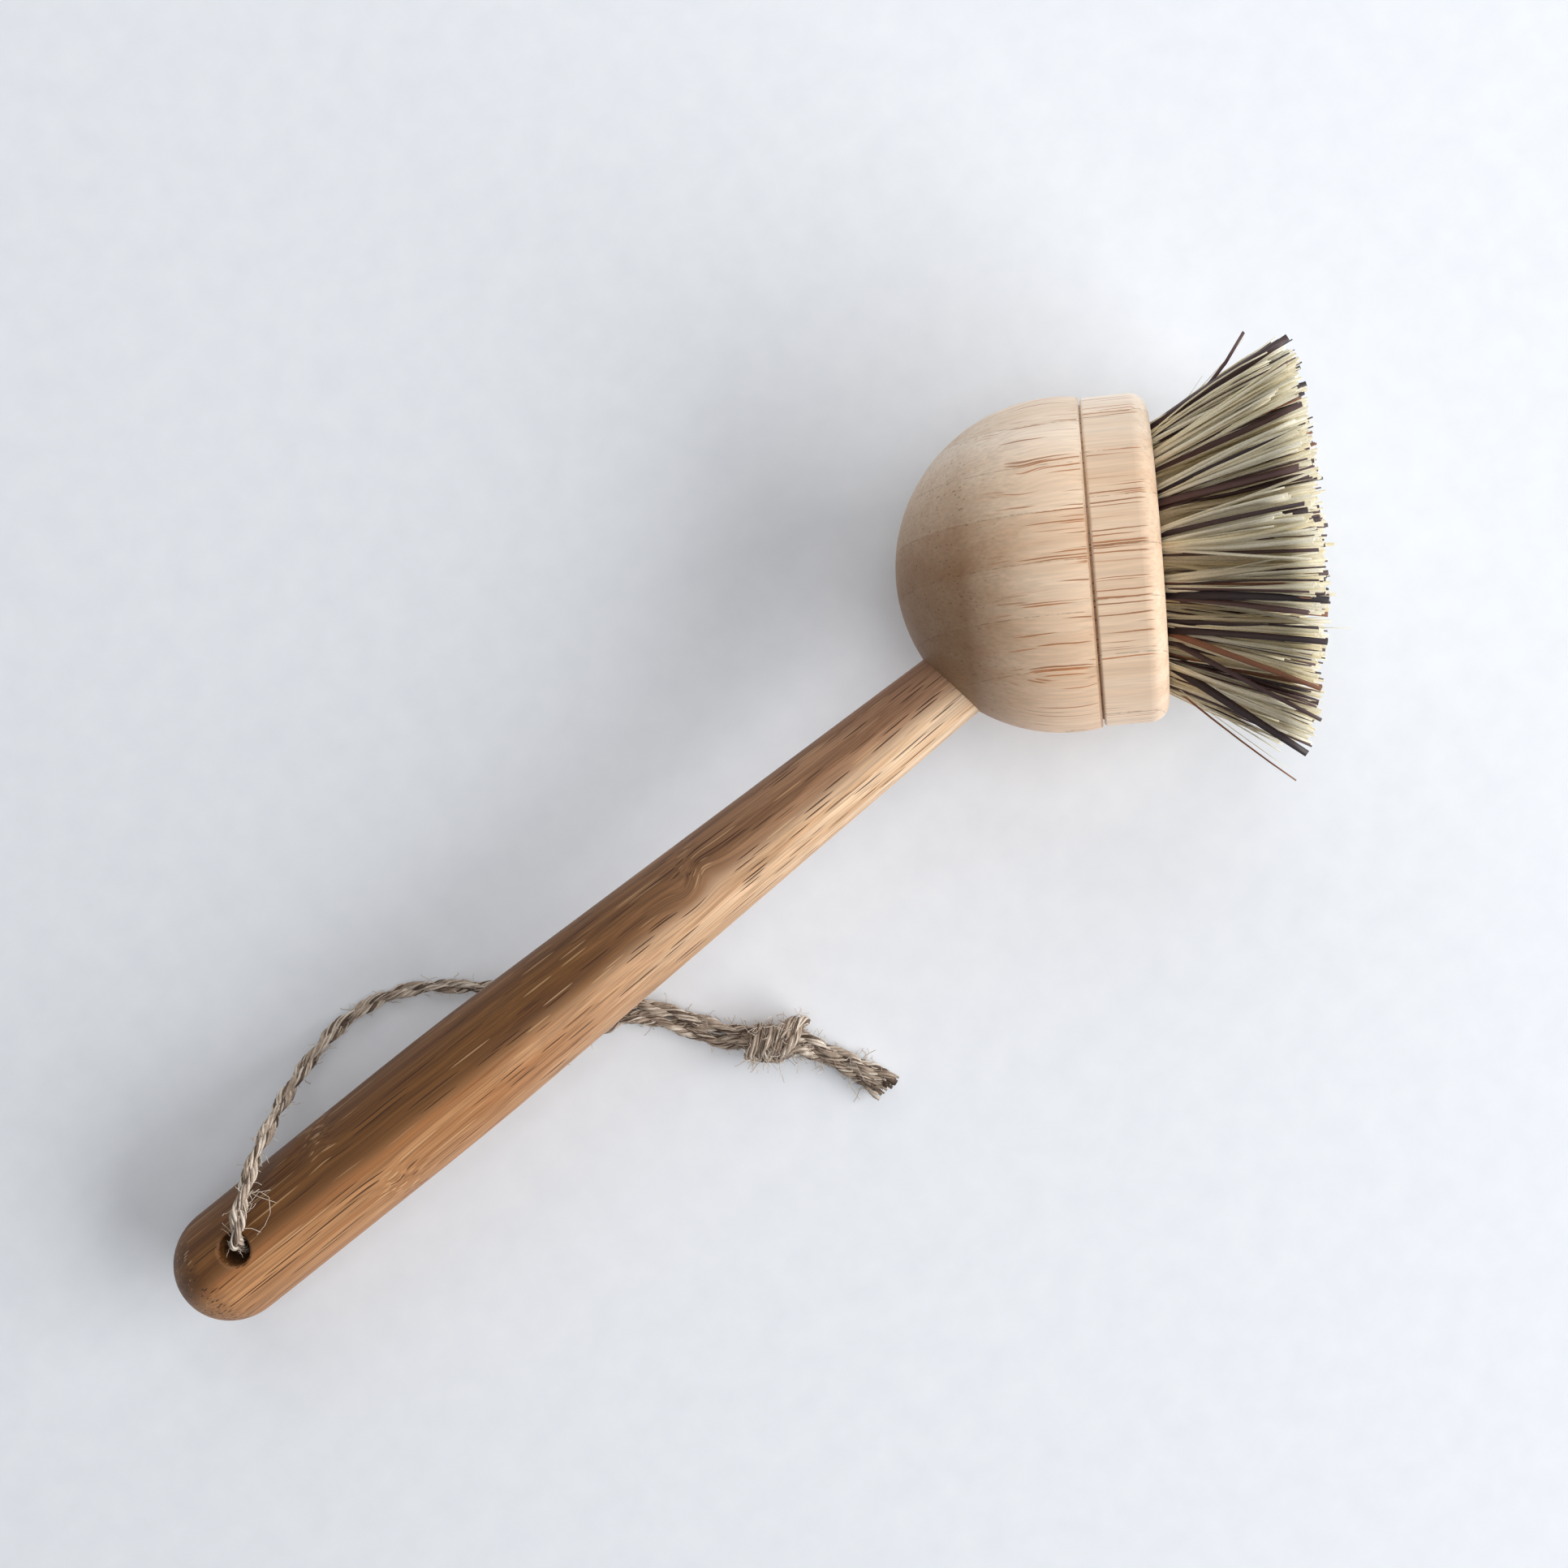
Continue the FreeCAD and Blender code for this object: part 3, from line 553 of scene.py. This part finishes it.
def crown_height(place):
    """Height of the trimmed ends above the dome's middle, in mm: a shallow crown, fuller on top."""
    middle_height = 40.3
    fall = 0.0042
    reach = place.xy.length
    return middle_height - fall * reach * reach + 0.06 * max(place.x - 12.0, 0.0)


def in_disc(chance, radius):
    """A random offset square to the head's axis, even over a disc."""
    angle = chance.uniform(0, math.tau)
    reach = radius * math.sqrt(chance.random())
    return Vector((reach * math.cos(angle), reach * math.sin(angle), 0.0))


def fill_tuft(name, ring, direction, seed, strays=()):
    """One bunch, from its hole in the plate to the trimmed crown: locks of cream fibre that cling
    together, dark and brown strips between them, and the strays that left the crown."""
    chance = random.Random(seed)
    form = bmesh.new()
    layers = {"tone": form.verts.layers.float.new("tone"), "rise": form.verts.layers.float.new("rise")}
    hole = direction * ((hole_spacing - foot_lean) * ring)
    spread = direction * (tip_spacing * ring) + in_disc(chance, 0.8)
    spread.x += fan_lean
    for lock in range(chance.randint(12, 14)):
        start = in_disc(chance, 1.4)
        aim = start * 2.4 + in_disc(chance, 1.9)
        lean = Vector((chance.gauss(0.15, 0.35), chance.gauss(0.0, 0.35), 0.0)) + direction * (0.06 * ring)
        lock_tone = chance.uniform(0.30, 1.05)
        short = chance.uniform(1.0, 5.0) if chance.random() < 0.14 else 0.0
        for fibre in range(chance.randint(4, 5)):
            foot = hole + start + in_disc(chance, 0.50)
            foot.z = foot_height
            tip = spread + aim + in_disc(chance, 1.1)
            if chance.random() < 0.12:
                across = in_disc(chance, 4.5)
                tip += across - direction * max(across.dot(direction), 0.0)
            tip.x += top_spread * max(tip.x, 0.0)
            tip.z = crown_height(tip) + chance.gauss(0.0, 0.5) - short
            tone = min(max(lock_tone + chance.gauss(0.0, 0.18), 0.0), 1.0)
            bow = lean + in_disc(chance, 0.35)
            wide = chance.uniform(0.42, 0.95)
            thick = chance.uniform(0.20, 0.28)
            facing = direction + in_disc(chance, 0.7)
            add_fibre(form, layers, chance, foot, tip, bow, wide, thick, 0, tone, facing)
    kinds = [1] * chance.randint(10, 14) + [2] * chance.randint(0, 2)
    for kind in kinds:
        start = in_disc(chance, 1.35)
        foot = hole + start
        foot.z = foot_height
        tip = spread + start * 2.2 + in_disc(chance, 2.0)
        tip.x += top_spread * max(tip.x, 0.0)
        tip.z = crown_height(tip) + chance.uniform(-1.4, 1.1)
        bow = Vector((chance.gauss(0.1, 0.25), chance.gauss(0.0, 0.25), 0.0)) + direction * (0.05 * ring)
        wide = chance.uniform(0.8, 1.6) if chance.random() < 0.28 else chance.uniform(0.32, 0.75)
        thick = chance.uniform(0.24, 0.36)
        facing = direction + in_disc(chance, 0.6)
        add_fibre(form, layers, chance, foot, tip, bow, wide, thick, kind, chance.random(), facing)
    upwards = Vector((0.0, 1.0, 0.0))
    for foot, tip, bow, wide, thick, kind, tone in strays:
        add_fibre(form, layers, chance, Vector(foot), Vector(tip), Vector(bow), wide, thick, kind, tone,
                  upwards)
    mesh = bpy.data.meshes.new(name)
    form.to_mesh(mesh)
    form.free()
    for material in (cream_fibre, dark_strip, brown_strip):
        mesh.materials.append(material)
    bunch = bpy.data.objects.new(name, mesh)
    scene.collection.objects.link(bunch)
    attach(bunch, "brush_head")
    return bunch


def hole_direction(node):
    """Which way from the head's axis a tuft's solid stands, square to that axis."""
    corners = frame["nodes"][node].data.vertices
    middle = sum((corner.co for corner in corners), Vector()) / len(corners)
    offset = head_frame.transposed() @ (middle - head_centre)
    return Vector((offset.x, offset.y, 0.0)).normalized()


# Strays in mm in the head's frame: foot, tip, bow, width, thickness, kind (0 cream, 1 dark, 2 brown)
# and tone.
strays = {
    "tuft_outer_05": (
        ((18.3, -1.2, 12.7), (34.2, 0.0, 31.6), (-0.6, 0.3, 0.5), 0.13, 0.11, 0, 0.9),
        ((18.2, -0.8, 12.7), (28.0, 3.0, 24.5), (-0.8, 0.2, 0.5), 0.12, 0.10, 0, 1.0),
    ),
    "tuft_outer_06": (
        ((18.0, 5.2, 12.7), (33.4, 6.0, 31.2), (-2.4, 0.6, 0.8), 0.75, 0.50, 1, 0.9),
        ((18.2, 5.4, 12.7), (30.6, 10.0, 37.4), (-0.3, 1.0, 0.3), 1.40, 0.40, 1, 0.35),
    ),
    "tuft_outer_07": (
        ((15.2, 11.2, 12.7), (20.6, 18.5, 38.6), (0.4, 1.4, 0.0), 1.50, 0.40, 1, 0.05),
    ),
    "tuft_outer_11": (
        ((-8.8, 16.8, 12.7), (-13.9, 27.8, 38.0), (0.0, 1.3, 0.0), 1.60, 0.40, 1, 0.00),
    ),
    "tuft_outer_12": (
        ((-13.6, 13.2, 12.7), (-19.6, 25.0, 37.6), (0.0, 1.3, 0.0), 1.30, 0.40, 1, 0.15),
        ((-13.4, 12.4, 12.7), (-30.3, 19.0, 36.4), (-0.3, 1.3, 0.0), 1.10, 0.40, 1, 0.50),
        ((-12.9, 13.0, 12.7), (-26.3, 24.4, 36.2), (-0.3, 1.5, 0.2), 1.30, 0.40, 2, 0.55),
        ((-13.0, 13.6, 12.7), (-17.5, 22.0, 41.6), (0.0, 1.3, 0.0), 0.16, 0.13, 0, 1.0),
    ),
    "tuft_outer_13": (
        ((-16.4, 7.8, 12.7), (-34.4, 10.5, 34.8), (-0.4, 1.2, 0.3), 1.70, 0.40, 1, 0.10),
    ),
    "tuft_outer_14": (
        ((-18.0, 1.0, 12.7), (-37.6, 0.0, 33.8), (-0.9, 0.2, 0.4), 0.40, 0.28, 2, 0.7),
        ((-18.0, 2.0, 12.7), (-35.6, 2.0, 32.4), (-0.7, 0.2, 0.5), 0.13, 0.11, 0, 0.9),
    ),
}
centre_tuft = fill_tuft("fibres_centre", 0, Vector((1.0, 0.0, 0.0)), 7)
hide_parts("tuft_centre")
for ring, (ring_name, number) in enumerate(tufts_per_ring.items(), start=1):
    for index in range(1, number + 1):
        node = f"tuft_{ring_name}_{index:02d}"
        tuft = fill_tuft(f"fibres_{ring_name}_{index:02d}", ring, hole_direction(node), 100 * ring + index,
                         strays.get(node, ()))
        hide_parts(node)

# The hanging loop: one length of two-ply jute twine put through the hole near the butt, both
# ends laid together on the table, tied in one overhand knot and cut off.
hole_middle = Vector((-103.987, 6.328, 11.909))
long_run = (
    (-104.445, 7.199, 17.015), (-103.9, 8.4, 22.6), (-100.1, 11.3, 24.8), (-96.1, 14.9, 24.0),
    (-92.0, 18.2, 20.3), (-88.0, 21.0, 14.9), (-84.1, 23.4, 9.7), (-78.8, 25.5, 5.2),
    (-73.0, 26.8, 2.8), (-67.0, 26.6, 1.7), (-60.5, 24.7, 1.5), (-54.5, 20.8, 1.5),
    (-48.5, 15.4, 1.5), (-41.5, 8.2, 1.5), (-35.0, 2.2, 1.5), (-29.2, -3.8, 1.5),
    (-25.6, -8.6, 1.9), (-22.4, -13.8, 2.0),
)
short_run = (
    (-103.529, 5.457, 6.803), (-102.9, 3.9, 1.7), (-101.4, 0.0, 1.5), (-96.5, -1.8, 1.5),
    (-87.0, -2.2, 1.5), (-73.0, -1.7, 1.5), (-58.0, -1.9, 1.5), (-46.0, -1.6, 1.5),
    (-38.5, -2.1, 1.5), (-33.6, -3.3, 1.5), (-30.3, -5.7, 1.4), (-26.7, -11.0, 1.4),
    (-24.0, -15.9, 1.6),
)
upper_tail = ((-9.5, -29.4, 2.4), (-6.8, -34.2, 1.9), (-5.2, -38.2, 1.8), (-4.2, -41.3, 1.8))
lower_tail = ((-11.2, -29.2, 2.1), (-8.7, -34.0, 1.7), (-7.3, -37.6, 1.7), (-6.4, -41.2, 1.8))
# The knot's turns: along the twine, across it and up from the knot's middle.
knot_middle = Vector((-15.25, -22.8, 3.4))
knot_along = Vector((0.752, -0.659, 0.0)).normalized()
knot_across = Vector((0.0, 0.0, 1.0)).cross(knot_along)
knot_turns = (
    (-6.5, 0.0, -1.2), (-3.0, -0.2, -0.6), (0.6, -0.2, -0.4), (3.2, 0.8, -1.2), (4.2, 3.2, -0.2),
    (3.6, 3.6, 1.6), (2.3, 1.3, 3.0), (1.0, -1.3, 2.3), (-0.1, -2.4, -0.2), (-0.8, -0.6, -2.0),
    (-1.0, 1.7, -1.2), (-1.3, 2.0, 1.2), (-2.1, -0.1, 2.6), (-3.0, -2.4, 1.7), (-2.7, -3.1, -0.6),
    (0.6, -2.0, -1.9), (3.0, -0.9, -1.0), (5.0, -0.1, 0.2),
)


def knot_points(side):
    """The knot's control points for one of its two strands: behind each other in the wraps, and side
    by side before and after them."""
    half_apart = 0.95
    points = []
    for step, (forward, sideways, up) in enumerate(knot_turns):
        wrap = 4 <= step <= 14
        forward += half_apart * side if wrap else 0.0
        sideways += 0.0 if wrap else half_apart * side
        points.append(knot_middle + knot_along * forward + knot_across * sideways + Vector((0, 0, up)))
    return points


def smooth_line(name, points):
    """The twine's middle line: a NURBS curve on the route's own points, read as Blender draws it."""
    curve = bpy.data.curves.new(name, "CURVE")
    curve.dimensions = "3D"
    curve.resolution_u = 8
    spline = curve.splines.new("NURBS")
    spline.points.add(len(points) - 1)
    for point, place in zip(spline.points, points):
        point.co = (*(Vector(place) * mm), 1.0)
    spline.order_u = 3
    spline.use_endpoint_u = True
    drawn = bpy.data.objects.new(name, curve)
    scene.collection.objects.link(drawn)
    bpy.context.view_layer.update()
    mesh = bpy.data.meshes.new_from_object(drawn)
    line = [vertex.co / mm for vertex in mesh.vertices]
    bpy.data.objects.remove(drawn)
    bpy.data.curves.remove(curve)
    bpy.data.meshes.remove(mesh)
    return line


def jute(name, low, high):
    """Jute: a dull grey-brown bast fibre, dry and without shine, blotched along the yarn."""
    material = bpy.data.materials.new(name)
    material.use_nodes = True
    tree = material.node_tree
    tree.nodes.clear()
    place = add_node(tree, "TexCoord")
    blotch = add_node(tree, "TexNoise", {"Vector": place.outputs["Object"], "Scale": 1 / 0.0016,
                                         "Detail": 5.0, "Roughness": 0.65})
    share = add_node(tree, "MapRange", {"Value": blotch, "From Min": 0.32, "From Max": 0.68})
    colour = add_node(tree, "Mix", {0: share, 6: linear(low), 7: linear(high)}, data_type="RGBA")
    relief = add_node(tree, "Bump", {"Strength": 0.3, "Distance": 0.00008, "Height": blotch})
    dry = add_node(tree, "BsdfPrincipled", {"Base Color": colour.outputs[2], "Roughness": 0.8,
                                            "Specular IOR Level": 0.2, "Normal": relief})
    add_node(tree, "OutputMaterial", {"Surface": dry})
    return material


jute_tones = [jute("jute_pale", "#b5a695", "#dcd1c4"), jute("jute_grey_brown", "#8b7a6b", "#b3a292"),
              jute("jute_dark", "#4d3f35", "#776659")]


def across_line(line):
    """At each point of a line: the way along it and one way square to it that doesn't twist."""
    ways = []
    square = Vector((0.0, 0.0, 1.0))
    for index, place in enumerate(line):
        ahead = line[min(index + 1, len(line) - 1)] - line[max(index - 1, 0)]
        ahead.normalize()
        square = (square - ahead * square.dot(ahead)).normalized()
        ways.append((ahead, square.copy()))
    return ways


def add_yarn(curve, places, radii, tone):
    """One yarn of the curve, a straight-run spline whose thickness follows the radii, in mm."""
    spline = curve.splines.new("POLY")
    spline.points.add(len(places) - 1)
    for point, place, radius in zip(spline.points, places, radii):
        point.co = (*(place * mm), 1.0)
        point.radius = radius
    spline.material_index = tone


def add_hair(curve, chance, place, way, length):
    """One loose jute hair that leaves the twine at a place, in mm, and curls as it goes."""
    places = [place]
    steps = 5
    for turn in range(steps):
        way = (way + Vector([chance.gauss(0.0, 0.35) for axis in range(3)])).normalized()
        place = place + way * (length / steps)
        place.z = max(place.z, 0.08)
        places.append(place)
    thin = chance.uniform(0.038, 0.062)
    add_yarn(curve, places, [thin] * len(places), chance.choices((0, 1), (0.8, 0.2))[0])


def jute_curve(name):
    """A curve for jute yarns and hairs, thick by its points' radii in mm."""
    curve = bpy.data.curves.new(name, "CURVE")
    curve.dimensions = "3D"
    curve.bevel_depth = mm
    curve.bevel_resolution = 1
    curve.use_fill_caps = True
    for tone in jute_tones:
        curve.materials.append(tone)
    return curve


def jute_piece(name, curve):
    """The curve's yarns as one mesh that goes with the handle."""
    drawn = bpy.data.objects.new(name + "_drawn", curve)
    scene.collection.objects.link(drawn)
    bpy.context.view_layer.update()
    mesh = bpy.data.meshes.new_from_object(drawn)
    bpy.data.objects.remove(drawn)
    bpy.data.curves.remove(curve)
    mesh.name = name
    for face in mesh.polygons:
        face.use_smooth = True
    piece = bpy.data.objects.new(name, mesh)
    scene.collection.objects.link(piece)
    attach(piece, "handle_and_dome")
    return piece


def lay_twine(name, line, seed):
    """Two plies of yarns twisted round the line, their cut ends splayed, with short hairs."""
    chance = random.Random(seed)
    curve = jute_curve(name)
    ways = across_line(line)
    lengths = [0.0]
    for before, after in zip(line, line[1:]):
        lengths.append(lengths[-1] + (after - before).length)
    whole = lengths[-1]
    turn_of_ply = 15.0
    turn_of_yarn = 9.0
    ply_reach = 0.54
    frayed_length = 7.0
    inner_yarns = 3
    outer_yarns = 13
    swell = 0.3
    hairs_per_mm = 2.6
    for ply in range(2):
        start = math.pi * ply
        for yarn in range(inner_yarns + outer_yarns):
            inside = yarn < inner_yarns
            thick = chance.uniform(0.38, 0.46) if inside else chance.uniform(0.14, 0.27)
            ray = chance.uniform(0.05, 0.25) if inside else chance.uniform(0.43, 0.65)
            around = math.tau * yarn / (inner_yarns if inside else outer_yarns) + chance.gauss(0.0, 0.15)
            wobble = chance.uniform(0, math.tau)
            early = chance.uniform(-1.2, 1.4)
            places = []
            radii = []
            for place, (ahead, square), done in zip(line, ways, lengths):
                left = whole - done
                if left < early:
                    break
                side = ahead.cross(square)
                open_up = max(0.0, 1.0 - left / frayed_length) ** 1.5
                angle = start + math.tau * done / turn_of_ply
                own = around - math.tau * done / turn_of_yarn
                stray = 1.0 + 0.16 * math.sin(done * 0.9 + wobble)
                offset = (square * math.cos(angle) + side * math.sin(angle)) * (ply_reach + 0.12 * open_up)
                swing = ray * stray * (1.0 + 0.9 * open_up)
                offset += (square * math.cos(own) + side * math.sin(own)) * swing
                spot = place + offset
                spot.z = max(spot.z, (1.0 + swell) * thick)
                places.append(spot)
                radii.append(thick * (1.0 + swell * math.sin(done * 1.3 + 2.0 * wobble)))
            if early < 0.0:
                places.append(places[-1] - ways[-1][0] * early)
                radii.append(radii[-1])
            # Outer yarns take a tone at random. The core yarns all take the dark jute, as painted shade
            # where they show between the outer yarns.
            tone = chance.choices((0, 1, 2), (0.34, 0.44, 0.22))[0]
            add_yarn(curve, places, radii, 2 if inside else tone)
    for hair in range(int(whole * hairs_per_mm)):
        index = chance.randrange(4, len(line) - 1)
        ahead, square = ways[index]
        angle = chance.uniform(0, math.tau)
        out = square * math.cos(angle) + ahead.cross(square) * math.sin(angle)
        way = ahead * chance.choice((-1.0, 1.0)) + out * chance.uniform(0.2, 0.9)
        place = line[index] + out * chance.uniform(0.9, 1.3)
        add_hair(curve, chance, place, way.normalized(), chance.uniform(1.0, 2.6))
    return jute_piece(name, curve)


long_line = smooth_line("long_line", (hole_middle, *long_run, *knot_points(1.0), *upper_tail))
short_line = smooth_line("short_line", (hole_middle, *short_run, *knot_points(-1.0), *lower_tail))
long_twine = lay_twine("twine_long_strand", long_line, 31)
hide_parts("cord_long_strand", "cord_tail_upper", "cord_knot")
short_twine = lay_twine("twine_short_strand", short_line, 32)
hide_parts("cord_short_strand", "cord_tail_lower")

# Loose hairs: single jute fibres that have come out of the twine where it rubs, a wisp over the
# hole and longer ones round the knot and the cut ends.
wisp = (
    ((-96.3, 14.2, 24.4), (-94.3, 12.6, 24.6), (-93.9, 11.0, 24.2), (-95.5, 8.9, 23.6),
     (-97.8, 7.8, 23.0), (-100.0, 7.4, 22.4)),
    ((-98.2, 12.5, 24.6), (-96.3, 12.3, 24.9), (-94.5, 12.7, 24.8), (-92.9, 11.8, 24.4)),
    ((-99.2, 11.4, 24.5), (-97.5, 11.3, 24.7), (-96.4, 12.0, 24.9)),
    ((-96.0, 14.0, 24.3), (-95.0, 12.0, 24.5), (-93.6, 9.6, 24.0)),
    ((-101.0, 10.2, 24.3), (-99.4, 8.8, 23.9), (-98.9, 7.4, 23.2)),
)
hair_chance = random.Random(33)
loose_curve = jute_curve("loose_hairs")
for route in wisp:
    add_yarn(loose_curve, [Vector(place) for place in route], [0.045] * len(route), 0)
hairs_per_strand = 46
knot_begins = 0.62
for line in (long_line, short_line):
    ways = across_line(line)
    for hair in range(hairs_per_strand):
        index = hair_chance.randrange(int(len(line) * knot_begins), len(line) - 1)
        ahead, square = ways[index]
        angle = hair_chance.uniform(0, math.tau)
        out = square * math.cos(angle) + ahead.cross(square) * math.sin(angle)
        way = ahead * hair_chance.uniform(-1.0, 1.0) + out * hair_chance.uniform(0.5, 1.0)
        add_hair(loose_curve, hair_chance, line[index] + out, way.normalized(),
                 hair_chance.uniform(2.5, 5.5))
jute_piece("twine_loose_hairs", loose_curve)
